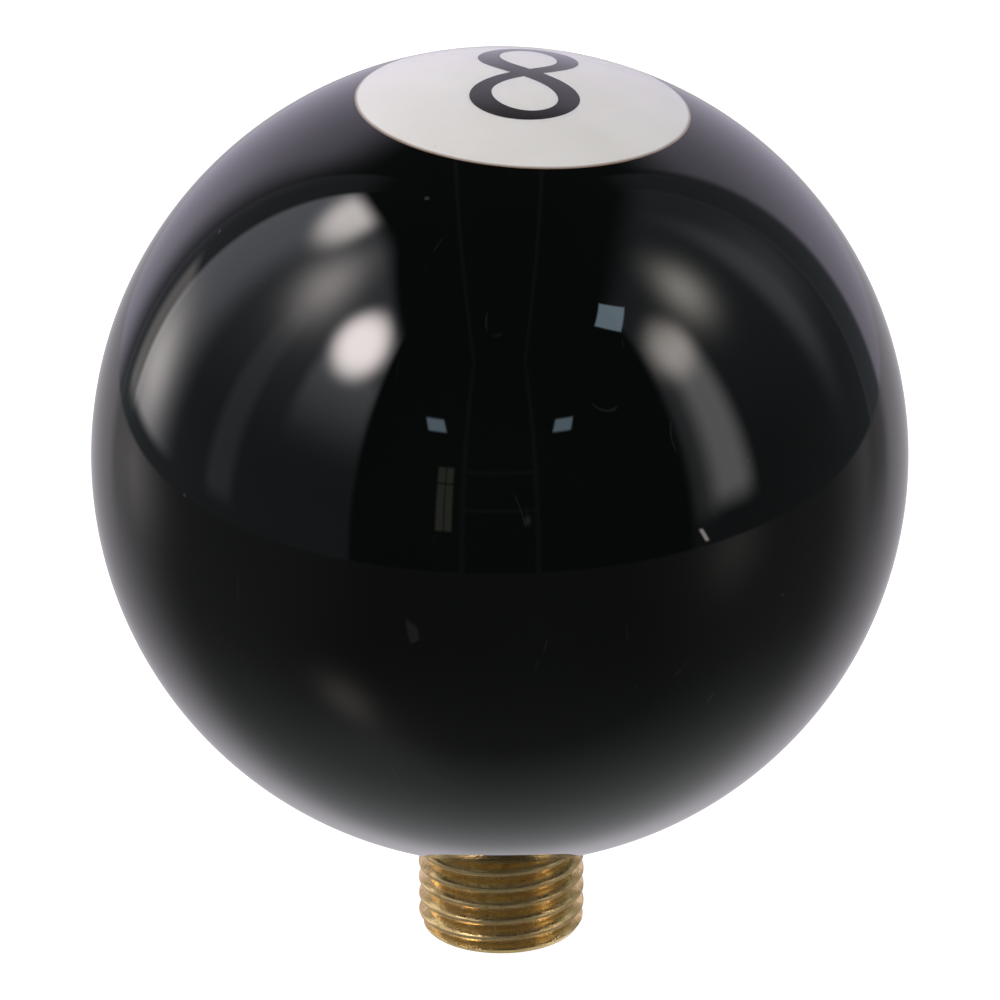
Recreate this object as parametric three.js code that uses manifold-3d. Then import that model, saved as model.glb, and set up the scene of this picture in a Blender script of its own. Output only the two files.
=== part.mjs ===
// A pool ball made into a knob for a threaded gear lever.
// Millimetres, +Z up. The origin is the centre of the adaptor bush's lower face, and every
// round piece except the number disc is turned about the Z axis.

import * as THREE from 'three';
import { mergeVertices } from 'three/addons/utils/BufferGeometryUtils.js';
import Module from 'manifold-3d';

const wasm = await Module();
wasm.setup();

// Clearance left all round a piece that sits in a pocket of another.
const GAP = 0.25;

// The ball: a standard 2 1/4 inch pool ball with a small flat spot-faced on its underside.
const BALL_RADIUS = 57.15 / 2;
const BALL_CENTRE = 36.05;
const FLAT_RADIUS = 9.5;
const FLAT_HEIGHT = BALL_CENTRE - Math.sqrt(BALL_RADIUS ** 2 - FLAT_RADIUS ** 2);

// The number disc is a round plug whose axis leans a little from the ball's.
const DISC_RADIUS = 11.62;
const DISC_DEPTH = 5.6;
const DISC_LEAN_RIGHT = THREE.MathUtils.degToRad(3.65);
const DISC_LEAN_FORWARD = THREE.MathUtils.degToRad(0.7);

// The figure 8, inlaid in the disc.
const NUMERAL_DEPTH = 1.7;
const NUMERAL_REACH = 5.8;
const NUMERAL_FULLNESS = 0.1;
const NUMERAL_SPREAD = 3;
const NUMERAL_ROUNDING = 0.25;
const NUMERAL_TURN = THREE.MathUtils.degToRad(-3.5);
const PEN_WIDTH = 1.33;
const PEN_UPRIGHT_GAIN = 0.19;
const PEN_DIAGONAL_GAIN = 0.19;

// The adaptor bush: M12 x 1.25 outside, drilled for M8 x 1.25 inside.
const PITCH = 1.25;
const CREST_RADIUS = 5.88;
const ROOT_RADIUS = 5.25;
const BUSH_LENGTH = 20;
const BUSH_BORE = 3.4;
const BUSH_MOUTH = 4.1;
const BUSH_END_RADIUS = 5.5;
const BUSH_CHAMFER = 0.6;

// The socket bonded in the ball, closed at its upper end.
const SOCKET_RADIUS = 8;
const SOCKET_BORE = 6.2;
const SOCKET_FLOOR = BUSH_LENGTH + 0.4;
const SOCKET_TOP = SOCKET_FLOOR + 2;
const GROOVE_DEPTH = 0.5;
const GROOVE_WIDTH = 1.6;

/** A solid that can be cut and joined, from a closed three.js geometry. */
function solid(geometry) {
  const bare = geometry.clone();
  bare.deleteAttribute('normal');
  bare.deleteAttribute('uv');
  const welded = mergeVertices(bare, 1e-4);
  const corners = welded.index.array;
  const kept = [];
  for (let i = 0; i < corners.length; i += 3) {
    const [a, b, c] = corners.slice(i, i + 3);
    if (a !== b && b !== c && c !== a) {
      kept.push(a, b, c);
    }
  }
  return new wasm.Manifold(new wasm.Mesh({
    numProp: 3,
    vertProperties: new Float32Array(welded.attributes.position.array),
    triVerts: new Uint32Array(kept),
  }));
}

/** A named mesh of a finished solid. */
function piece(name, body, { color, roughness, metalness }) {
  const { vertProperties, triVerts } = body.getMesh();
  const geometry = new THREE.BufferGeometry();
  geometry.setAttribute('position', new THREE.BufferAttribute(vertProperties, 3));
  geometry.setIndex(new THREE.BufferAttribute(triVerts, 1));
  const mesh = new THREE.Mesh(
    geometry,
    new THREE.MeshStandardMaterial({ color, roughness, metalness }),
  );
  mesh.name = name;
  return mesh;
}

/** A body turned about Z from [radius, height] pairs that run up its outside. */
function turned(outline, segments) {
  const points = outline.map(([radius, height]) => new THREE.Vector2(radius, height));
  return new THREE.LatheGeometry(points, segments).rotateX(Math.PI / 2);
}

function cylinder(radius, bottom, top, segments = 56) {
  return turned([[0, bottom], [radius, bottom], [radius, top], [0, top]], segments);
}

/** Puts a geometry drawn about the ball's centre, along +Z, on the number disc's axis. */
function onDiscAxis(geometry) {
  return geometry
    .rotateY(DISC_LEAN_RIGHT)
    .rotateX(DISC_LEAN_FORWARD)
    .translate(0, 0, BALL_CENTRE);
}

function sphere() {
  const rows = 28;
  const outline = [];
  for (let row = 0; row <= rows; row += 1) {
    const latitude = Math.PI * (row / rows - 0.5);
    const radius = row % rows === 0 ? 0 : BALL_RADIUS * Math.cos(latitude);
    outline.push([radius, BALL_CENTRE + BALL_RADIUS * Math.sin(latitude)]);
  }
  return solid(turned(outline, 56));
}

/** A point on the middle line of the figure 8. Shares run from its top, by its upper right,
 *  waist and lower left, to its foot at a half, and back by the other side of the waist. */
function numeralPoint(share) {
  const around = 2 * Math.PI * share;
  const up = Math.cos(around);
  const wide = NUMERAL_SPREAD - NUMERAL_ROUNDING * up ** 2 - 0.22 * up;
  const across = wide * Math.sin(2 * around) - 0.12 * up + 0.12;
  const along = NUMERAL_REACH * (up + NUMERAL_FULLNESS * Math.cos(3 * around)) + 0.2;
  return new THREE.Vector2(across, along)
    .rotateAround(new THREE.Vector2(), NUMERAL_TURN);
}

/** Half the pen's width where the stroke runs in this direction. */
function penReach(direction) {
  const twice = 2 * direction.angle();
  const upright = PEN_UPRIGHT_GAIN * Math.cos(twice);
  const diagonal = PEN_DIAGONAL_GAIN * Math.sin(twice);
  return (PEN_WIDTH - upright - diagonal) / 2;
}

/** Part of the stroke as an upright block, from the numeral's floor to above the ball. */
function stroke(from, to, extra) {
  const steps = 18;
  const left = [];
  const right = [];
  for (let step = 0; step <= steps; step += 1) {
    const share = from + (to - from) * (step / steps);
    const point = numeralPoint(share);
    const direction = numeralPoint(share + 0.001).sub(numeralPoint(share - 0.001)).normalize();
    const reach = penReach(direction) + extra;
    const side = new THREE.Vector2(-direction.y, direction.x).multiplyScalar(reach);
    left.push(point.clone().add(side));
    right.unshift(point.clone().sub(side));
  }
  const floor = BALL_RADIUS - NUMERAL_DEPTH - extra;
  const block = new THREE.ExtrudeGeometry(new THREE.Shape([...left, ...right]), {
    depth: BALL_RADIUS + 1 - floor,
    bevelEnabled: false,
  });
  return solid(onDiscAxis(block.translate(0, 0, floor)));
}

/** The whole figure: two strokes from top to foot that cross at the waist. */
function numeral(extra = 0) {
  return stroke(-0.01, 0.51, extra).add(stroke(0.49, 1.01, extra));
}

function numberPlug(extra = 0) {
  const floor = BALL_RADIUS - DISC_DEPTH - extra;
  return solid(onDiscAxis(cylinder(DISC_RADIUS + extra, floor, BALL_RADIUS + 1, 72)));
}

function ballBody() {
  const boreTop = SOCKET_TOP + GAP;
  const bore = solid(cylinder(SOCKET_RADIUS + GAP, FLAT_HEIGHT - 5, boreTop, 48));
  const underside = solid(cylinder(BALL_RADIUS, 0, FLAT_HEIGHT));
  return sphere().subtract(numberPlug(GAP)).subtract(underside).subtract(bore);
}

/** The closed socket, with rings turned in its outside for the resin to hold. */
function socketInsert() {
  const rings = [FLAT_HEIGHT + 3, FLAT_HEIGHT + 7.5].flatMap((bottom) => [
    [SOCKET_RADIUS, bottom],
    [SOCKET_RADIUS - GROOVE_DEPTH, bottom + GROOVE_DEPTH / 2],
    [SOCKET_RADIUS - GROOVE_DEPTH, bottom + GROOVE_WIDTH - GROOVE_DEPTH / 2],
    [SOCKET_RADIUS, bottom + GROOVE_WIDTH],
  ]);
  return solid(turned([
    [0, SOCKET_FLOOR],
    [SOCKET_BORE, SOCKET_FLOOR],
    [SOCKET_BORE, FLAT_HEIGHT + 0.5],
    [SOCKET_BORE + 0.5, FLAT_HEIGHT],
    [SOCKET_RADIUS - 0.3, FLAT_HEIGHT],
    [SOCKET_RADIUS, FLAT_HEIGHT + 0.3],
    ...rings,
    [SOCKET_RADIUS, SOCKET_TOP - 0.6],
    [SOCKET_RADIUS - 0.6, SOCKET_TOP],
    [0, SOCKET_TOP],
  ], 48));
}

/** A right-hand screw thread, closed far beyond both ends of the bush. */
function screw() {
  const segments = 32;
  // How far up one pitch each edge of the thread form lies, and its radius there.
  const form = [[0, ROOT_RADIUS], [0.2, ROOT_RADIUS], [0.52, CREST_RADIUS], [0.68, CREST_RADIUS]];
  const turns = Math.ceil(BUSH_LENGTH / PITCH) + 4;
  const rows = turns * form.length;
  const corners = [];
  const faces = [];
  const corner = (row, segment) => row * segments + segment;
  for (let row = 0; row <= rows; row += 1) {
    const [share, radius] = form[row % form.length];
    const turn = Math.floor(row / form.length) - 2;
    for (let segment = 0; segment < segments; segment += 1) {
      const angle = 2 * Math.PI * (segment / segments);
      const height = PITCH * (turn + share + segment / segments);
      corners.push(radius * Math.cos(angle), radius * Math.sin(angle), height);
    }
  }
  const below = corners.length / 3;
  corners.push(0, 0, -4 * PITCH);
  const above = below + 1;
  corners.push(0, 0, BUSH_LENGTH + 5 * PITCH);

  // The last corner of each row meets the row one pitch further up the screw.
  const next = (row, segment) => (segment + 1 < segments
    ? corner(row, segment + 1)
    : corner(row + form.length, 0));
  const lastFullRow = rows - form.length;
  for (let row = 0; row < lastFullRow; row += 1) {
    for (let segment = 0; segment < segments; segment += 1) {
      const [a, b] = [corner(row, segment), next(row, segment)];
      const [c, d] = [next(row + 1, segment), corner(row + 1, segment)];
      faces.push(a, b, c, a, c, d);
    }
  }
  for (let segment = 0; segment < segments; segment += 1) {
    faces.push(below, next(0, segment), corner(0, segment));
    faces.push(above, corner(lastFullRow, segment), next(lastFullRow, segment));
  }
  for (let row = 0; row < form.length; row += 1) {
    faces.push(below, corner(row, 0), corner(row + 1, 0));
    const topRow = lastFullRow + row;
    faces.push(above, corner(topRow + 1, 0), corner(topRow, 0));
  }
  const geometry = new THREE.BufferGeometry();
  geometry.setAttribute('position', new THREE.Float32BufferAttribute(corners, 3));
  geometry.setIndex(faces);
  return solid(geometry);
}

/** The bush: a chamfered tube with the thread cut along its whole length. */
function adaptorBush() {
  const wide = CREST_RADIUS + 0.02;
  const tube = solid(turned([
    [BUSH_BORE, BUSH_MOUTH - BUSH_BORE],
    [BUSH_MOUTH, 0],
    [BUSH_END_RADIUS, 0],
    [wide, BUSH_CHAMFER],
    [wide, BUSH_LENGTH - BUSH_CHAMFER],
    [BUSH_END_RADIUS, BUSH_LENGTH],
    [BUSH_MOUTH, BUSH_LENGTH],
    [BUSH_BORE, BUSH_LENGTH - (BUSH_MOUTH - BUSH_BORE)],
    [BUSH_BORE, BUSH_MOUTH - BUSH_BORE],
  ], 72));
  return tube.intersect(screw());
}

const resin = { roughness: 0.12, metalness: 0 };
const knob = new THREE.Group();
knob.name = 'pool_ball_knob';
knob.add(
  piece('ball_body', ballBody(), { color: 0x0b0a0c, ...resin }),
  piece('number_disc', sphere().intersect(numberPlug()).subtract(numeral(GAP)), {
    color: 0xdedad4,
    ...resin,
  }),
  piece('numeral_eight', sphere().intersect(numeral()), { color: 0x1c191b, ...resin }),
  piece('socket_insert', socketInsert(), { color: 0xb8b9bb, roughness: 0.4, metalness: 1 }),
  piece('adaptor_bush', adaptorBush(), { color: 0xa8813c, roughness: 0.3, metalness: 1 }),
);

export default knob;
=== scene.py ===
"""The pool ball gear-lever knob: smooth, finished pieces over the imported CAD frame.

Lengths in the constants are millimetres, and MM turns them into Blender's metres.
"""

import math

import bpy
from mathutils import Matrix, Vector
from mathutils.geometry import delaunay_2d_cdt


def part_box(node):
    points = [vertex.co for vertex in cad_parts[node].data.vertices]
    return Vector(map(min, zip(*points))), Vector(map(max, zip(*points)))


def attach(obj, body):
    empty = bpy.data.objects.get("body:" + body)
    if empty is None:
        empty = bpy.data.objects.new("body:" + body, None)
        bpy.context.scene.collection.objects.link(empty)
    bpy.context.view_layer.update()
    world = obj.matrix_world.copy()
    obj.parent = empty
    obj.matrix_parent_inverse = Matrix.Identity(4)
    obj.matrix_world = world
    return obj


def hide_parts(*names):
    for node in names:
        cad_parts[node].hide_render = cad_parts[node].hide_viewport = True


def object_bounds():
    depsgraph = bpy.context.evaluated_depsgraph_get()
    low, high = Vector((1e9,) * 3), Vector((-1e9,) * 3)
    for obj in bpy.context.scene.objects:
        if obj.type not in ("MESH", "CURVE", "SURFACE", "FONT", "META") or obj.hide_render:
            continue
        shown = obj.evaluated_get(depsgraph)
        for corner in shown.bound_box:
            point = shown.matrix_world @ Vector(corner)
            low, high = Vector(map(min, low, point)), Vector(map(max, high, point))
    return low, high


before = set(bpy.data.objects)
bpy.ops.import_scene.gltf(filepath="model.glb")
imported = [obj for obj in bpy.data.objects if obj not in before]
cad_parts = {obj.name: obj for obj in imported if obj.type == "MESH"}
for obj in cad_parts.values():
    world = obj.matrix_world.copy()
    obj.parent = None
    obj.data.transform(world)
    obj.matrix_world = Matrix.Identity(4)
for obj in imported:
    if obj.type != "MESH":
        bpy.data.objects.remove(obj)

MM = 0.001
CAD_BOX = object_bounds()

# Measurements taken from the frame.
BALL_LOW, BALL_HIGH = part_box("ball_body")
SOCKET_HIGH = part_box("socket_insert")[1]
BUSH_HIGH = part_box("adaptor_bush")[1]
BALL_RADIUS = (BALL_HIGH.x - BALL_LOW.x) / 2 / MM
BALL_CENTRE = CAD_BOX[1].z / MM - BALL_RADIUS
FLAT_HEIGHT = BALL_LOW.z / MM
SOCKET_RADIUS = SOCKET_HIGH.x / MM
SOCKET_TOP = SOCKET_HIGH.z / MM
CREST_RADIUS = BUSH_HIGH.x / MM
BUSH_LENGTH = BUSH_HIGH.z / MM

# The ball's underside and the number disc, as they are in the frame.
FLAT_RADIUS = 9.5
CLEARANCE = 0.25
BORE_RADIUS = SOCKET_RADIUS + CLEARANCE
BORE_TOP = SOCKET_TOP + CLEARANCE
DISC_RADIUS = 11.62
DISC_DEPTH = 5.6
DISC_LEAN_RIGHT = math.radians(3.65)
DISC_LEAN_FORWARD = math.radians(0.7)

# The figure 8: one pen stroke that crosses itself at the waist.
NUMERAL_DEPTH = 1.7
NUMERAL_REACH = 5.8
NUMERAL_FULLNESS = 0.1
NUMERAL_SPREAD = 3
NUMERAL_ROUNDING = 0.25
NUMERAL_TAPER = 0.22
NUMERAL_LEAN = 0.12
NUMERAL_RISE = 0.2
NUMERAL_TURN = math.radians(-3.5)
PEN_WIDTH = 1.33
PEN_UPRIGHT_GAIN = 0.19
PEN_DIAGONAL_GAIN = 0.19

# The threads: one pitch and one form, with a narrow crest and flanks that bulge a little.
PITCH = 1.25
CREST_FLAT = 0.18
FLANK_START = 0.85
FLANK_CURVE = 0.75
OUTER_START = 0.39
INNER_START = 0.4
BUSH_BORE = 3.33
BUSH_MOUTH = 4.1
BUSH_END_RADIUS = 5.5
BUSH_CHAMFER = 0.6
SOCKET_BORE = 6.2
SOCKET_FLOOR = BUSH_LENGTH + 0.4

# Where the camera stands, in millimetres and radians. The shift leaves room for the bush below.
CAMERA_ELEVATION = math.radians(22.6)
CAMERA_ROLL = math.radians(-0.2)
CAMERA_DISTANCE = 600
LENS = 308.7
SENSOR_WIDTH = 36
SHIFT_RIGHT = 0.0002
SHIFT_UP = -0.0452


# ---------------------------------------------------------------- meshes


def finish_piece(name, points, faces, body, nodes, exact_normal):
    """A smooth mesh object of points in millimetres, riding on a CAD body.

    exact_normal gives a point's normal on a surface that has a formula, or a zero vector. A face
    is shaded by it where all its corners are on the surface, and by its own shape elsewhere.
    """
    mesh = bpy.data.meshes.new(name)
    mesh.from_pydata([Vector(p) * MM for p in points], [], faces)
    mesh.shade_smooth()
    mesh.set_sharp_from_angle(angle=math.radians(32))
    exact = [exact_normal(Vector(p)) for p in points]
    normals = []
    for face in faces:
        formula = all(exact[i].length_squared > 0 for i in face)
        normals.extend(exact[i] if formula else Vector() for i in face)
    mesh.normals_split_custom_set(normals)
    piece = bpy.data.objects.new(name, mesh)
    bpy.context.scene.collection.objects.link(piece)
    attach(piece, body)
    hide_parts(*nodes)
    return piece


def loft(rings):
    """Points and faces of a skin over rings of points. A ring of one point closes an end."""
    points, faces, starts = [], [], []
    for ring in rings:
        starts.append(len(points))
        points.extend(ring)
    for (a, first), (b, second) in zip(zip(starts, rings), zip(starts[1:], rings[1:])):
        count = max(len(first), len(second))
        for i in range(count):
            j = (i + 1) % count
            if len(first) == 1:
                faces.append((a, b + j, b + i))
            elif len(second) == 1:
                faces.append((a + i, a + j, b))
            else:
                faces.append((a + i, a + j, b + j, b + i))
    return points, faces


def circle(radius, height, count):
    """A ring about the Z axis."""
    if radius == 0:
        return [Vector((0, 0, height))]
    turns = [2 * math.pi * i / count for i in range(count)]
    return [Vector((radius * math.cos(t), radius * math.sin(t), height)) for t in turns]


def on_disc_axis(point):
    """Moves a point drawn about the ball's centre, along +Z, to the number disc's axis."""
    lean = Matrix.Rotation(DISC_LEAN_FORWARD, 3, "X") @ Matrix.Rotation(DISC_LEAN_RIGHT, 3, "Y")
    return lean @ Vector(point) + Vector((0, 0, BALL_CENTRE))


def rounded(outline, radius, steps=4):
    """An open outline of (radius, height) pairs with every corner between its ends rounded off."""
    smooth = [outline[0]]
    for before, corner, after in zip(outline, outline[1:], outline[2:]):
        corner = Vector(corner)
        arms = [Vector(before) - corner, Vector(after) - corner]
        reach = min(radius, arms[0].length * 0.45, arms[1].length * 0.45)
        start, end = (corner + arm.normalized() * reach for arm in arms)
        for step in range(steps + 1):
            t = step / steps
            point = start * (1 - t) ** 2 + corner * 2 * t * (1 - t) + end * t ** 2
            smooth.append(tuple(point))
    smooth.append(outline[-1])
    return smooth


def ball_normal(point):
    """The ball's own normal where a point lies on its surface."""
    out = point - Vector((0, 0, BALL_CENTRE))
    return out.normalized() if abs(out.length - BALL_RADIUS) < 0.001 else Vector()


# ---------------------------------------------------------------- ball body


def ball_body():
    """The drilled ball, lofted from the number disc's pocket over its outside into its bore."""
    count = 256
    steps = 150
    edge_break = 0.15
    bore_break = 0.2
    centre = Vector((0, 0, BALL_CENTRE))
    floor = BALL_RADIUS - DISC_DEPTH
    rim_height = math.sqrt(BALL_RADIUS ** 2 - DISC_RADIUS ** 2)
    rim = [on_disc_axis(p) for p in circle(DISC_RADIUS, rim_height, count)]
    pocket = [on_disc_axis(p) for p in circle(DISC_RADIUS, floor, count)]
    edge_radius = FLAT_RADIUS + edge_break
    edge_height = BALL_CENTRE - math.sqrt(BALL_RADIUS ** 2 - edge_radius ** 2)
    edge = circle(edge_radius, edge_height, count)
    rows = []
    for step in range(steps + 1):
        share = step / steps
        rows.append([
            centre + (top - centre).slerp(low - centre, share).normalized() * BALL_RADIUS
            for top, low in zip(rim, edge)
        ])
    bore = [
        (FLAT_RADIUS - edge_break, FLAT_HEIGHT),
        (BORE_RADIUS + bore_break, FLAT_HEIGHT),
        (BORE_RADIUS, FLAT_HEIGHT + bore_break),
        (BORE_RADIUS, BORE_TOP - 1),
        (BORE_RADIUS, BORE_TOP),
        (0, BORE_TOP),
    ]
    rings = [[on_disc_axis((0, 0, floor))], pocket, *rows]
    rings += [circle(radius, height, count) for radius, height in bore]
    points, faces = loft(rings)
    faces = [tuple(reversed(face)) for face in faces]
    return finish_piece(
        "ball_shell", points, faces, "ball", ["ball_body"], ball_normal
    )


# ---------------------------------------------------------------- number disc and figure


def numeral_point(share):
    """A point on the figure's middle line: its top at share 0, its foot at a half, its top at 1."""
    around = 2 * math.pi * share
    up = math.cos(around)
    wide = NUMERAL_SPREAD - NUMERAL_ROUNDING * up ** 2 - NUMERAL_TAPER * up
    across = wide * math.sin(2 * around) + NUMERAL_LEAN * (1 - up)
    along = NUMERAL_REACH * (up + NUMERAL_FULLNESS * math.cos(3 * around)) + NUMERAL_RISE
    return Matrix.Rotation(NUMERAL_TURN, 2) @ Vector((across, along))


def stroke(start, end, steps=110):
    """The outline of the pen stroke between two shares of its middle line."""
    left, right = [], []
    for step in range(steps + 1):
        share = start + (end - start) * step / steps
        point = numeral_point(share)
        direction = (numeral_point(share + 0.001) - numeral_point(share - 0.001)).normalized()
        twice = 2 * math.atan2(direction.y, direction.x)
        upright = PEN_UPRIGHT_GAIN * math.cos(twice)
        diagonal = PEN_DIAGONAL_GAIN * math.sin(twice)
        reach = (PEN_WIDTH - upright - diagonal) / 2
        side = Vector((-direction.y, direction.x)) * reach
        left.append(point + side)
        right.insert(0, point - side)
    outline = left + right
    area = sum(a.cross(b) for a, b in zip(outline, outline[1:] + outline[:1]))
    return outline if area > 0 else outline[::-1]


def disc_triangles():
    """The disc in the flat: points, triangles outside the figure, and triangles inside it."""
    rim = [p.to_2d() for p in circle(DISC_RADIUS - 0.01, 0, 256)]
    overlap = 0.01
    halves = [stroke(-overlap, 0.5 + overlap), stroke(0.5 - overlap, 1 + overlap)]
    outlines = [rim, *halves]
    points, polygons = [], []
    for outline in outlines:
        polygons.append(list(range(len(points), len(points) + len(outline))))
        points.extend(outline)
    spacing = 0.3
    rings = int(DISC_RADIUS / spacing)
    for ring in range(1, rings):
        radius = DISC_RADIUS * ring / rings
        points.extend(p.to_2d() for p in circle(radius, 0, 6 * ring))
    points.append(Vector((0, 0)))
    flat, _, triangles, _, _, sources = delaunay_2d_cdt(points, [], polygons, 1, 1e-5, True)
    plain, inked = [], []
    for triangle, source in zip(triangles, sources):
        (inked if {1, 2} & set(source) else plain).append(tuple(triangle))
    return flat, plain, inked


def on_ball(point):
    """Lifts a flat point to the ball's surface."""
    return (point.x, point.y, math.sqrt(BALL_RADIUS ** 2 - point.length_squared))


def at_height(height):
    """A lift that takes every flat point to one height."""
    return lambda point: (point.x, point.y, height)


def standing(flat, groups, floor):
    """Points and faces of a closed body over flat triangles.

    groups is a list of (triangles, lid): each lid lifts a flat point to that group's top. Walls
    join groups with different tops, and go down to the floor round the outside.
    """
    points, faces, known = [], [], {}

    def corner(index, lift):
        key = (index, lift)
        if key not in known:
            known[key] = len(points)
            points.append(on_disc_axis(lift(flat[index])))
        return known[key]

    tops = {}
    for triangles, lid in groups:
        for a, b, c in triangles:
            faces.append(tuple(corner(i, lid) for i in (a, b, c)))
            faces.append(tuple(corner(i, floor) for i in (c, b, a)))
            for edge in ((a, b), (b, c), (c, a)):
                tops[edge] = lid
    for (a, b), lid in tops.items():
        other = tops.get((b, a), floor)
        if other is not lid and (other is floor or a < b):
            faces.append((corner(b, lid), corner(a, lid), corner(a, other), corner(b, other)))
    return points, faces


def number_disc(flat, plain, inked):
    """The white plug, with a pocket for the figure."""
    floor = at_height(BALL_RADIUS - DISC_DEPTH + 0.02)
    pocket = at_height(BALL_RADIUS - NUMERAL_DEPTH)
    points, faces = standing(flat, [(plain, on_ball), (inked, pocket)], floor)
    return finish_piece(
        "disc_inlay", points, faces, "ball", ["number_disc"], ball_normal
    )


def numeral_eight(flat, inked):
    """The figure let into the disc."""
    floor = at_height(BALL_RADIUS - NUMERAL_DEPTH + 0.01)
    points, faces = standing(flat, [(inked, on_ball)], floor)
    return finish_piece(
        "figure_inlay", points, faces, "ball", ["numeral_eight"], ball_normal
    )


# ---------------------------------------------------------------- threaded metal


def softened(value, softness=0.02):
    """The value where it is well above zero, easing smoothly to zero below."""
    return (value + math.hypot(value, softness)) / 2


class ThreadedWall:
    """The wall of a round bar or hole with a right-hand thread.

    out is 1 where the thread stands out from a bar and -1 where it stands into a hole. blank
    gives the plain wall's radius at a height, which cuts off the crests at the chamfered ends.
    """

    def __init__(self, crest, out, start, blank):
        self.crest = crest
        self.out = out
        self.start = start
        self.blank = blank

    def radius(self, height, angle):
        """The wall's radius at a height and at an angle about the axis."""
        phase = (height - self.start) / PITCH - angle / (2 * math.pi)
        from_crest = abs((phase + 0.5) % 1 - 0.5) * PITCH
        from_crest = PITCH / 2 - softened(PITCH / 2 - from_crest)
        down = softened(from_crest - CREST_FLAT / 2)
        cut = FLANK_START * down + FLANK_CURVE * down ** 2
        if self.out > 0:
            return min(self.crest - cut, self.blank(height))
        return max(self.crest + cut, self.blank(height))

    def rings(self, heights, count):
        """Rings of the wall's points, one ring at each height."""
        turns = [2 * math.pi * i / count for i in range(count)]
        found = []
        for height in heights:
            radii = [self.radius(height, turn) for turn in turns]
            found.append([
                Vector((radius * math.cos(turn), radius * math.sin(turn), height))
                for radius, turn in zip(radii, turns)
            ])
        return found

    def normal(self, point):
        """The wall's normal at a point on it, away from the metal."""
        angle = math.atan2(point.y, point.x)
        out = Vector((math.cos(angle), math.sin(angle), 0))
        along = Vector((-math.sin(angle), math.cos(angle), 0))
        radius = point.to_2d().length
        if abs(radius - self.radius(point.z, angle)) > 0.0001:
            return Vector()
        step = 0.004
        rise = self.radius(point.z + step, angle) - self.radius(point.z - step, angle)
        slope = rise / (2 * step)
        turn_slope = -slope * PITCH / (2 * math.pi)
        normal = out - along * turn_slope / radius - Vector((0, 0, slope))
        return normal.normalized() * self.out


def from_ends(height, length):
    """Distance from the nearer end of a bar that stands on zero height."""
    return min(height, length - height)


def adaptor_bush():
    """The brass bush: chamfered ends, the big thread outside and the lever's thread inside."""
    count = 180

    def heights(rows_to_a_turn):
        rows = rows_to_a_turn * int(BUSH_LENGTH / PITCH)
        return [BUSH_LENGTH * row / rows for row in range(rows + 1)]

    def outer_blank(height):
        slope = (CREST_RADIUS - BUSH_END_RADIUS) / BUSH_CHAMFER
        return min(CREST_RADIUS, BUSH_END_RADIUS + slope * from_ends(height, BUSH_LENGTH))

    def inner_blank(height):
        return max(BUSH_BORE, BUSH_MOUTH - from_ends(height, BUSH_LENGTH))

    outside = ThreadedWall(CREST_RADIUS, 1, OUTER_START, outer_blank)
    inside = ThreadedWall(BUSH_BORE, -1, INNER_START, inner_blank)
    lip_radius = BUSH_END_RADIUS - 0.4
    low_lip = circle(lip_radius, 0, count)
    high_lip = circle(lip_radius, BUSH_LENGTH, count)
    outer_rings = outside.rings(heights(rows_to_a_turn=22), count)
    inner_rings = inside.rings(heights(rows_to_a_turn=10)[::-1], count)
    points, faces = loft([low_lip, *outer_rings, high_lip, *inner_rings, low_lip])
    last = len(points) - count
    wrap = {last + i: i for i in range(count)}
    faces = [tuple(wrap.get(i, i) for i in face) for face in faces]

    def wall_normal(point):
        middle = (BUSH_MOUTH + CREST_RADIUS) / 2
        wall = outside if point.to_2d().length > middle else inside
        return wall.normal(point)

    return finish_piece(
        "brass_bush", points[:last], faces, "bush", ["adaptor_bush"], wall_normal
    )


def socket_insert():
    """The closed socket: rings turned in its outside, thread roots cut into its bore."""
    count = 128
    rows_to_a_turn = 18
    mouth_chamfer = 0.5
    groove_depth = 0.5
    groove_width = 1.6
    groove_slope = 0.25
    corner_radius = 0.25
    rows = rows_to_a_turn * int((SOCKET_FLOOR - FLAT_HEIGHT) / PITCH)
    low = FLAT_HEIGHT + 0.6
    high = SOCKET_FLOOR - 0.8
    heights = [high - (high - low) * row / rows for row in range(rows + 1)]
    bore = ThreadedWall(SOCKET_BORE, -1, INNER_START, lambda height: SOCKET_BORE)
    outside = [(SOCKET_BORE + mouth_chamfer, FLAT_HEIGHT), (SOCKET_RADIUS, FLAT_HEIGHT)]
    for bottom in (FLAT_HEIGHT + 3, FLAT_HEIGHT + 7.5):
        outside += [
            (SOCKET_RADIUS, bottom),
            (SOCKET_RADIUS - groove_depth, bottom + groove_slope),
            (SOCKET_RADIUS - groove_depth, bottom + groove_width - groove_slope),
            (SOCKET_RADIUS, bottom + groove_width),
        ]
    outside += [(SOCKET_RADIUS, SOCKET_TOP), (0, SOCKET_TOP)]
    rings = [circle(0, SOCKET_FLOOR, count), circle(SOCKET_BORE, SOCKET_FLOOR, count)]
    rings += bore.rings(heights, count)
    rings += [circle(radius, height, count) for radius, height in rounded(outside, corner_radius)]
    points, faces = loft(rings)
    return finish_piece(
        "steel_socket", points, faces, "socket", ["socket_insert"], bore.normal
    )


# ---------------------------------------------------------------- node maths


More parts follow.
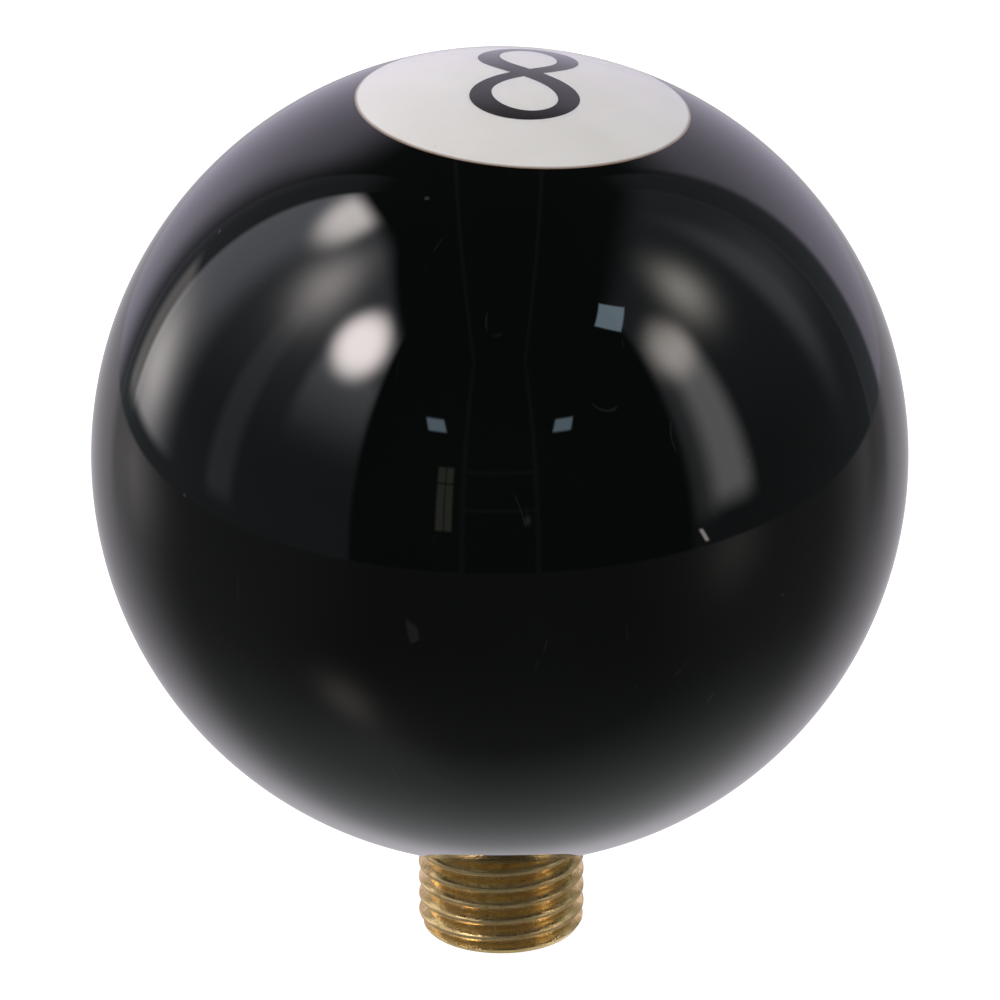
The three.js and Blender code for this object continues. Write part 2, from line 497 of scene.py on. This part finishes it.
class Field:
    """A number that varies over a surface or the sky, built up as Math nodes."""

    def __init__(self, tree, socket):
        self.tree = tree
        self.socket = socket

    def math(self, operation, *others):
        node = self.tree.nodes.new("ShaderNodeMath")
        node.operation = operation
        for slot, value in zip(node.inputs, (self, *others)):
            if isinstance(value, Field):
                self.tree.links.new(value.socket, slot)
            else:
                slot.default_value = value
        return Field(self.tree, node.outputs[0])

    def __add__(self, other):
        return self.math("ADD", other)

    def __sub__(self, other):
        return self.math("SUBTRACT", other)

    def __mul__(self, other):
        return self.math("MULTIPLY", other)

    def squared(self):
        return self.math("POWER", 2)

    def inverse(self):
        return self * -1 + 1

    def step(self, low, high):
        """0 at low and 1 at high, easing between. low may be the larger."""
        node = self.tree.nodes.new("ShaderNodeMapRange")
        node.interpolation_type = "SMOOTHSTEP"
        flipped = low > high
        node.inputs["From Min"].default_value = min(low, high)
        node.inputs["From Max"].default_value = max(low, high)
        node.inputs["To Min"].default_value = 1 if flipped else 0
        node.inputs["To Max"].default_value = 0 if flipped else 1
        self.tree.links.new(self.socket, node.inputs["Value"])
        return Field(self.tree, node.outputs["Result"])

    def span(self, low, high, soft):
        """1 between low and high, with edges that are soft either side of them."""
        return self.step(low - soft, low + soft) * self.step(high + soft, high - soft)


def colour_mix(tree, share, first, second, kind="MIX"):
    """A colour between first and second. Each is a colour or a socket, share a Field or number."""
    node = tree.nodes.new("ShaderNodeMix")
    node.data_type = "RGBA"
    node.blend_type = kind
    slots = [s for s in node.inputs if s.type == "RGBA"]
    for slot, value in ((node.inputs["Factor"], share), (slots[0], first), (slots[1], second)):
        if isinstance(value, Field):
            tree.links.new(value.socket, slot)
        elif isinstance(value, bpy.types.NodeSocket):
            tree.links.new(value, slot)
        elif isinstance(value, (int, float)):
            slot.default_value = value
        else:
            slot.default_value = (*value, 1)
    return next(s for s in node.outputs if s.type == "RGBA")


def object_place(tree):
    """Where a shaded point is on the object, in metres, as a socket."""
    return tree.nodes.new("ShaderNodeTexCoord").outputs["Object"]


def noise(tree, scale, detail=3, stretch=(1, 1, 1), roughness=0.5, turn=(0, 0, 0)):
    """Noise over the object, about one blob to each 1 / scale metres, as a Field from 0 to 1."""
    spread = tree.nodes.new("ShaderNodeMapping")
    spread.inputs["Scale"].default_value = stretch
    spread.inputs["Rotation"].default_value = turn
    texture = tree.nodes.new("ShaderNodeTexNoise")
    texture.inputs["Scale"].default_value = scale
    texture.inputs["Detail"].default_value = detail
    texture.inputs["Roughness"].default_value = roughness
    tree.links.new(object_place(tree), spread.inputs["Vector"])
    tree.links.new(spread.outputs["Vector"], texture.inputs["Vector"])
    return Field(tree, texture.outputs["Fac"])


def specks(tree, scale, size):
    """Scattered dots: 1 in the middle of a few cells of about 1 / scale metres."""
    cells = tree.nodes.new("ShaderNodeTexVoronoi")
    cells.inputs["Scale"].default_value = scale
    tree.links.new(object_place(tree), cells.inputs["Vector"])
    parts = tree.nodes.new("ShaderNodeSeparateColor")
    tree.links.new(cells.outputs["Color"], parts.inputs["Color"])
    chosen = Field(tree, parts.outputs["Red"]).step(0.93, 0.95)
    return Field(tree, cells.outputs["Distance"]).step(size, size * 0.4) * chosen


def hairlines(tree, scale, stretch, turn):
    """Thin curved scratches: the contour of a stretched noise, kept in a few patches."""
    wave = noise(tree, scale, 0, stretch, turn=turn)
    line = (wave - 0.5).math("ABSOLUTE").step(0.004, 0.001)
    return line * noise(tree, scale * 2.3, 1).step(0.62, 0.68)


def new_material(name):
    """A material with its node tree and its Principled shader."""
    material = bpy.data.materials.new(name)
    material.use_nodes = True
    shader = material.node_tree.nodes["Principled BSDF"]
    return material, material.node_tree, shader


def bump(tree, shader, height, distance):
    """Raises the surface by height, a Field, times distance in metres."""
    node = tree.nodes.new("ShaderNodeBump")
    node.inputs["Distance"].default_value = distance
    node.inputs["Strength"].default_value = 1
    tree.links.new(height.socket, node.inputs["Height"])
    tree.links.new(node.outputs["Normal"], shader.inputs["Normal"])


# ---------------------------------------------------------------- materials


def black_resin():
    """Polished black resin with faint handling haze, hairlines and specks of dust."""
    material, tree, shader = new_material("black_resin")
    scratches = hairlines(tree, 150, (1, 1, 0.35), (0.3, 0.5, 0))
    marks = scratches * 0.10 + specks(tree, 420, 0.10) * 0.4
    haze = noise(tree, 90, 5).step(0.35, 0.75)
    colour = colour_mix(tree, haze, (0.0004, 0.0004, 0.0004), (0.0008, 0.0008, 0.0009))
    dusty = colour_mix(tree, marks * 0.5, colour, (0.16, 0.15, 0.14))
    tree.links.new(dusty, shader.inputs["Base Color"])
    rough = haze * 0.012 + 0.014 + marks * 0.2
    tree.links.new(rough.socket, shader.inputs["Roughness"])
    ripple = noise(tree, 55, 2) * 0.5 + marks * -0.12
    bump(tree, shader, ripple, 0.000004)
    shader.inputs["IOR"].default_value = 1.5
    return material


def disc_distance(tree):
    """Distance in metres from the number disc's axis."""
    from_centre = tree.nodes.new("ShaderNodeVectorMath")
    from_centre.operation = "SUBTRACT"
    from_centre.inputs[1].default_value = (0, 0, BALL_CENTRE * MM)
    across_axis = tree.nodes.new("ShaderNodeVectorMath")
    across_axis.operation = "CROSS_PRODUCT"
    across_axis.inputs[1].default_value = on_disc_axis((0, 0, 1)) - on_disc_axis((0, 0, 0))
    distance = tree.nodes.new("ShaderNodeVectorMath")
    distance.operation = "LENGTH"
    tree.links.new(object_place(tree), from_centre.inputs[0])
    tree.links.new(from_centre.outputs["Vector"], across_axis.inputs[0])
    tree.links.new(across_axis.outputs["Vector"], distance.inputs[0])
    return Field(tree, distance.outputs["Value"])


def white_resin():
    """White resin, slightly translucent, with a thin brown edge where it meets the black."""
    material, tree, shader = new_material("white_resin")
    cloud = noise(tree, 160, 4).step(0.3, 0.75)
    colour = colour_mix(tree, cloud, (0.83, 0.82, 0.795), (0.87, 0.86, 0.84))
    wander = (noise(tree, 300, 2) - 0.5) * 0.0001
    from_axis = disc_distance(tree) + wander
    fringe = from_axis.step((DISC_RADIUS - 0.30) * MM, (DISC_RADIUS - 0.02) * MM)
    edged = colour_mix(tree, fringe * 0.9, colour, (0.20, 0.11, 0.06))
    marked = colour_mix(tree, specks(tree, 700, 0.10) * 0.35, edged, (0.25, 0.22, 0.2))
    tree.links.new(marked, shader.inputs["Base Color"])
    rough = cloud * 0.03 + 0.05
    tree.links.new(rough.socket, shader.inputs["Roughness"])
    bump(tree, shader, noise(tree, 70, 2), 0.000002)
    shader.inputs["IOR"].default_value = 1.5
    shader.inputs["Subsurface Weight"].default_value = 0.35
    shader.inputs["Subsurface Radius"].default_value = (1, 0.75, 0.6)
    shader.inputs["Subsurface Scale"].default_value = 0.0006
    return material


def numeral_resin():
    """Brown-black resin of the figure, a little uneven in tone."""
    material, tree, shader = new_material("numeral_resin")
    uneven = noise(tree, 400, 4).step(0.3, 0.7)
    colour = colour_mix(tree, uneven, (0.012, 0.009, 0.010), (0.021, 0.016, 0.017))
    tree.links.new(colour, shader.inputs["Base Color"])
    rough = uneven * 0.03 + 0.05
    tree.links.new(rough.socket, shader.inputs["Roughness"])
    bump(tree, shader, noise(tree, 70, 2), 0.000002)
    shader.inputs["IOR"].default_value = 1.5
    return material


def axis_distance(tree):
    """Distance in metres from the Z axis, which the bush and the socket are turned about."""
    split = tree.nodes.new("ShaderNodeSeparateXYZ")
    tree.links.new(object_place(tree), split.inputs["Vector"])
    x, y, _ = (Field(tree, socket) for socket in split.outputs)
    return (x * x + y * y).math("SQRT")


def lathe_marks(tree):
    """The fine rings that a turning tool leaves."""
    return noise(tree, 900, 3, stretch=(0.08, 0.08, 9))


def brass():
    """Turned brass: dull crests, cleaner flanks, and patchy tarnish and grime over both."""
    material, tree, shader = new_material("turned_brass")
    crest = axis_distance(tree).step((CREST_RADIUS - 0.10) * MM, (CREST_RADIUS - 0.02) * MM)
    patches = noise(tree, 450, 6, roughness=0.65).step(0.38, 0.70)
    marks = lathe_marks(tree)
    grime = noise(tree, 1500, 4, roughness=0.6).step(0.48, 0.66)
    rubbed = colour_mix(tree, crest, (0.94, 0.68, 0.30), (0.91, 0.69, 0.36))
    tarnished = colour_mix(tree, patches * 0.4, rubbed, (0.60, 0.34, 0.14))
    toned = colour_mix(tree, marks.step(0.3, 0.8) * 0.2, tarnished, (0.36, 0.23, 0.10))
    dirty = colour_mix(tree, grime * 0.35, toned, (0.34, 0.25, 0.08))
    pitted = colour_mix(tree, specks(tree, 2000, 0.3) * 0.5, dirty, (0.10, 0.07, 0.04))
    tree.links.new(pitted, shader.inputs["Base Color"])
    gloss = crest * 0.16 + patches * 0.10 + marks * 0.10 + grime * 0.12 + 0.15
    tree.links.new(gloss.socket, shader.inputs["Roughness"])
    bump(tree, shader, marks + patches * 0.4 + grime * -0.5, 0.000016)
    shader.inputs["Metallic"].default_value = 0.92
    return material


def zinc_steel():
    """Zinc-plated steel, turned and a little dulled in patches."""
    material, tree, shader = new_material("zinc_steel")
    patches = noise(tree, 450, 6, roughness=0.65).step(0.38, 0.70)
    marks = lathe_marks(tree)
    colour = colour_mix(tree, patches * 0.6, (0.66, 0.67, 0.69), (0.42, 0.42, 0.43))
    tree.links.new(colour, shader.inputs["Base Color"])
    gloss = patches * 0.16 + marks * 0.14 + 0.22
    tree.links.new(gloss.socket, shader.inputs["Roughness"])
    bump(tree, shader, marks + patches * 0.4, 0.000012)
    shader.inputs["Metallic"].default_value = 1
    return material


# ---------------------------------------------------------------- studio


NEUTRAL = (1, 1, 1)
WARM = (1.07, 0.985, 0.94)
GREY_BLUE = (0.94, 1.0, 1.17)
MAUVE = (1.05, 0.965, 1.20)
DAYLIGHT = (0.79, 1.04, 1.26)
COOL_WHITE = (0.98, 1.0, 1.07)
TABLE_MAUVE = (1.05, 0.98, 1.08)


class StudioView:
    """Directions out from the ball, and soft shapes drawn on them.

    Angles are in degrees. Azimuth is measured from the camera's side, positive to the right, and
    elevation from the level. x, y and z are the direction itself, y pointing away from the camera.
    """

    def __init__(self, tree):
        place = tree.nodes.new("ShaderNodeTexCoord")
        split = tree.nodes.new("ShaderNodeSeparateXYZ")
        tree.links.new(place.outputs["Generated"], split.inputs["Vector"])
        self.x, self.y, self.z = (Field(tree, socket) for socket in split.outputs)
        self.azimuth = self.x.math("ARCTAN2", self.y * -1) * math.degrees(1)
        self.elevation = self.z.math("ARCSINE") * math.degrees(1)
        self.aside = self.azimuth.math("ABSOLUTE")
        self.above_table = self.elevation.step(-11.0, -10.0)
        self.table = self.elevation.step(-10.0, -11.0)

    def panel(self, left, right, low, high, soft=2):
        """A soft-edged upright panel between two azimuths and two elevations."""
        return self.azimuth.span(left, right, soft) * self.elevation.span(low, high, soft)

    def lamp(self, at, up, width, height, flat=1.0):
        """A round glow, with flat over 1 for an even middle."""
        across = ((self.azimuth - at) * (1 / width)).squared()
        upward = ((self.elevation - up) * (1 / height)).squared()
        return (across + upward).math("POWER", flat).math("MULTIPLY", -1).math("EXPONENT")

    def arched_screen(self, edges, middle, droop, clear, full):
        """A screen whose top edge droops away from its middle, between clear and full heights."""
        arch = ((self.azimuth - middle) * (1 / 26)).squared() * droop + self.elevation
        return self.azimuth.span(*edges) * arch.step(clear, full) * self.above_table


# Each of these gives layers of the studio's light: how much of one shows in a direction, its
# strength, and its tint.


def room_layers(view):
    """The dark room in front, a light tent's seams, and the posts that hold the backdrop."""
    uprights = view.aside.span(9.6, 11.0, 0.5) * view.elevation.step(48, 44)
    seams = (view.x.math("ABSOLUTE") - view.z * 0.16).math("ABSOLUTE").step(0.012, 0.003)
    rails = view.elevation.span(16.9, 18.1, 0.4) + view.elevation.span(6.6, 7.6, 0.4)
    backdrop_posts = view.aside.span(127.5, 137, 1.0) * view.elevation.step(62, 50)
    return [
        (view.above_table, 0.052, (0.83, 1.06, 0.95)),
        (uprights * view.above_table, 0.035, NEUTRAL),
        (seams * view.elevation.step(44, 50), 0.035, NEUTRAL),
        (rails * view.azimuth.span(-9.6, 9.6, 0.5), 0.03, NEUTRAL),
        (view.lamp(7.5, 4.3, 0.8, 1.2), 0.25, NEUTRAL),
        (backdrop_posts * view.above_table, 0.13, GREY_BLUE),
        (view.panel(-132.5, -126.5, -7, 14), 0.7, WARM),
    ]


def backdrop_layers(view):
    """The pale backdrop behind the ball, a little brighter low down and on the left."""
    sides = view.azimuth.step(-133, -149) + view.azimuth.step(136, 140)
    backdrop = sides * view.above_table * view.elevation.step(54, 33)
    return [
        (backdrop * (view.elevation.step(-12, 8) * 0.14 + 0.86), 0.62, MAUVE),
        (backdrop * view.elevation.step(35, 10), 0.08, MAUVE),
        (backdrop * view.azimuth.step(0, -10), 0.04, MAUVE),
    ]


def left_screen_layers(view):
    """The left diffusing screen, with three lamps behind it and a low one."""
    screen = view.arched_screen((-127.5, -41.5, 1.2), -88, 4.6, 67, 61)
    off_table = view.elevation.step(-8, -5)
    near_edge = view.panel(-67, -42, -8, 36, 3) * view.elevation.step(12, 38)
    return [
        (screen * (view.elevation.step(5, 55) * 0.40 + 0.12), 1.0, (0.94, 1.0, 1.14)),
        (screen * view.azimuth.step(-101, -116) * off_table, 0.72, (0.99, 0.99, 1.09)),
        (screen * view.lamp(-114, 55, 12, 8, 1.7), 8.2, WARM),
        (screen * view.lamp(-120.5, 2.5, 8.2, 9) * off_table, 2.9, WARM),
        (screen * view.lamp(-85.5, 48, 11.5, 9.5), 3.8, WARM),
        (screen * view.panel(-88.5, -79.5, -6, 40, 2.5), 0.22, NEUTRAL),
        (screen * view.lamp(-55.7, 43.6, 10.6, 8.6, 2.1), 17.5, (1.08, 0.98, 0.965)),
        (screen * near_edge, 0.85, (0.96, 1.0, 1.06)),
    ]


def right_screen_layers(view):
    """The right diffusing screen, with two lamps behind it and a faint third."""
    screen = view.arched_screen((54, 128, 2), 92, 3.0, 66, 56)
    return [
        (screen * (view.elevation.step(0, 50) * 0.12 + 0.07), 1.0, (0.93, 1.0, 1.16)),
        (screen * view.panel(55.5, 62, -3, 44, 4), 0.30, NEUTRAL),
        (screen * view.panel(61.6, 73.4, -1, 40, 4), 1.75, (1.02, 1.0, 1.0)),
        (screen * view.lamp(65.5, 38, 8.5, 7.2, 1.6), 4.2, (1.09, 0.985, 0.90)),
        (screen * view.lamp(87, 44.6, 9, 7.8), 3.5, (1.05, 1.0, 0.90)),
        (screen * view.lamp(113.5, 27, 5.5, 20, 1.4), 0.42, COOL_WHITE),
        (screen * view.lamp(122, 24, 5, 11), 0.18, COOL_WHITE),
    ]


def small_light_layers(view):
    """Ceiling lights, a skylight, a far window, and something bright on the table's edge."""
    leaning = view.aside - (view.elevation - 29.5) * 0.43
    ceiling_lights = leaning.span(17.2, 22.9, 0.5) * view.elevation.span(27.9, 31.2, 0.5)
    across = (view.azimuth - 52.8).math("ABSOLUTE") * (1 / 8.6)
    upward = (view.elevation - 52.8).math("ABSOLUTE") * (1 / 4.5)
    window = view.panel(-17.6, -13.2, 1, 18.4, 0.5)
    upright_bar = view.azimuth.span(-15.5, -15.2, 0.4)
    cross_bar = view.elevation.span(13.8, 14.2, 0.5)
    panes = window * upright_bar.inverse() * cross_bar.inverse()
    slanted = (view.azimuth + view.elevation * 0.6).span(52.0, 53.1, 0.4)
    return [
        (ceiling_lights, 2.0, DAYLIGHT),
        ((across + upward).step(1.1, 0.9), 2.8, (0.80, 1.04, 1.24)),
        (panes, 0.33, (0.98, 1.03, 0.77)),
        (slanted * view.elevation.span(-9.3, -6.0, 0.5), 4.0, WARM),
    ]


def table_layers(view):
    """The table, lit from above, by the backdrop where it reaches back to it, and in patches."""
    table = view.table
    from_above = (view.y * 0.62 + 0.28).math("MAXIMUM", 0.05) * view.elevation.step(-30, -80)
    post_shadow = view.aside.span(124, 138, 4) * view.elevation.step(-28, -14) * 0.6
    from_behind = view.y.step(0.15, 0.9) * post_shadow.inverse()
    back_edge = ((view.elevation + 48) * (1 / 13)).squared().math("MULTIPLY", -1).math("EXPONENT")
    return [
        (table, 0.088, (0.95, 1.02, 0.98)),
        (table * from_above, 1.0, (0.97, 1.01, 1.02)),
        (table * from_behind, 0.48, TABLE_MAUVE),
        (table * back_edge * view.y.step(0.3, 0.75), 0.30, TABLE_MAUVE),
        (table * view.x.math("ABSOLUTE").step(0.5, 0.9), 0.05, NEUTRAL),
        (table * view.lamp(-60, -62, 25, 13), 0.11, NEUTRAL),
        (table * view.lamp(130, -55, 30, 14), 0.13, NEUTRAL),
        (table * view.lamp(-121, -14, 14, 7), 0.35, WARM),
        (table * view.lamp(67, -12, 9, 10), 0.24, WARM),
        (view.lamp(-56, -50, 9, 7), 0.40, (1.10, 0.98, 0.93)),
    ]


def sky():
    """The studio as the ball mirrors it, by direction from the ball. The camera sees it white."""
    world = bpy.data.worlds.new("studio")
    bpy.context.scene.world = world
    world.use_nodes = True
    tree = world.node_tree
    view = StudioView(tree)
    total = (0, 0, 0)
    for part in (
        room_layers,
        backdrop_layers,
        left_screen_layers,
        right_screen_layers,
        small_light_layers,
        table_layers,
    ):
        for share, strength, tint in part(view):
            lit = colour_mix(tree, share, (0, 0, 0), tuple(strength * value for value in tint))
            total = colour_mix(tree, 1, total, lit, "ADD")
    camera_ray = tree.nodes.new("ShaderNodeLightPath").outputs["Is Camera Ray"]
    seen = colour_mix(tree, Field(tree, camera_ray), total, (1, 1, 1))
    background = tree.nodes["Background"]
    tree.links.new(seen, background.inputs["Color"])
    background.inputs["Strength"].default_value = 1


def floor():
    """A plain pale floor. The ball mirrors the studio's table, in the sky, in its place."""
    reach = 4
    mesh = bpy.data.meshes.new("floor")
    corners = [(-reach, -reach, 0), (reach, -reach, 0), (reach, reach, 0), (-reach, reach, 0)]
    mesh.from_pydata(corners, [], [(0, 1, 2, 3)])
    plane = bpy.data.objects.new("floor", mesh)
    bpy.context.scene.collection.objects.link(plane)
    material, tree, shader = new_material("pale_floor")
    grain = noise(tree, 40, 3)
    colour = colour_mix(tree, grain, (0.30, 0.30, 0.30), (0.32, 0.32, 0.32))
    tree.links.new(colour, shader.inputs["Base Color"])
    shader.inputs["Roughness"].default_value = 1
    shader.inputs["Specular IOR Level"].default_value = 0
    shader.inputs["Emission Color"].default_value = (1, 1, 1, 1)
    shader.inputs["Emission Strength"].default_value = 1
    mesh.materials.append(material)
    plane.visible_glossy = False


def top_light():
    """A soft panel overhead that lifts the number disc."""
    data = bpy.data.lights.new("top_light", "AREA")
    data.size = 0.5
    data.energy = 0.5
    light = bpy.data.objects.new("top_light", data)
    light.location = (-0.1, -0.1, 0.8)
    light.rotation_euler = (math.radians(-7), math.radians(-7), 0)
    light.visible_glossy = False
    bpy.context.scene.collection.objects.link(light)


def camera():
    """Looks down at the ball's centre from the photographer's side."""
    data = bpy.data.cameras.new("camera")
    data.lens = LENS
    data.sensor_width = SENSOR_WIDTH
    data.clip_start = 0.01
    camera_object = bpy.data.objects.new("camera", data)
    bpy.context.scene.collection.objects.link(camera_object)
    bpy.context.scene.camera = camera_object
    centre = Vector((0, 0, BALL_CENTRE)) * MM
    back = Vector((0, -math.cos(CAMERA_ELEVATION), math.sin(CAMERA_ELEVATION)))
    camera_object.location = centre + back * CAMERA_DISTANCE * MM
    aim = Matrix.Rotation(math.pi / 2 - CAMERA_ELEVATION, 3, "X")
    camera_object.rotation_euler = (aim @ Matrix.Rotation(CAMERA_ROLL, 3, "Z")).to_euler()
    data.shift_x = SHIFT_RIGHT
    data.shift_y = SHIFT_UP


# ---------------------------------------------------------------- the scene

flat_disc, plain_part, inked_part = disc_triangles()
ball_body().data.materials.append(black_resin())
number_disc(flat_disc, plain_part, inked_part).data.materials.append(white_resin())
numeral_eight(flat_disc, inked_part).data.materials.append(numeral_resin())
adaptor_bush().data.materials.append(brass())
socket_insert().data.materials.append(zinc_steel())
floor()
sky()
top_light()
camera()
bpy.context.scene.view_settings.view_transform = "Standard"
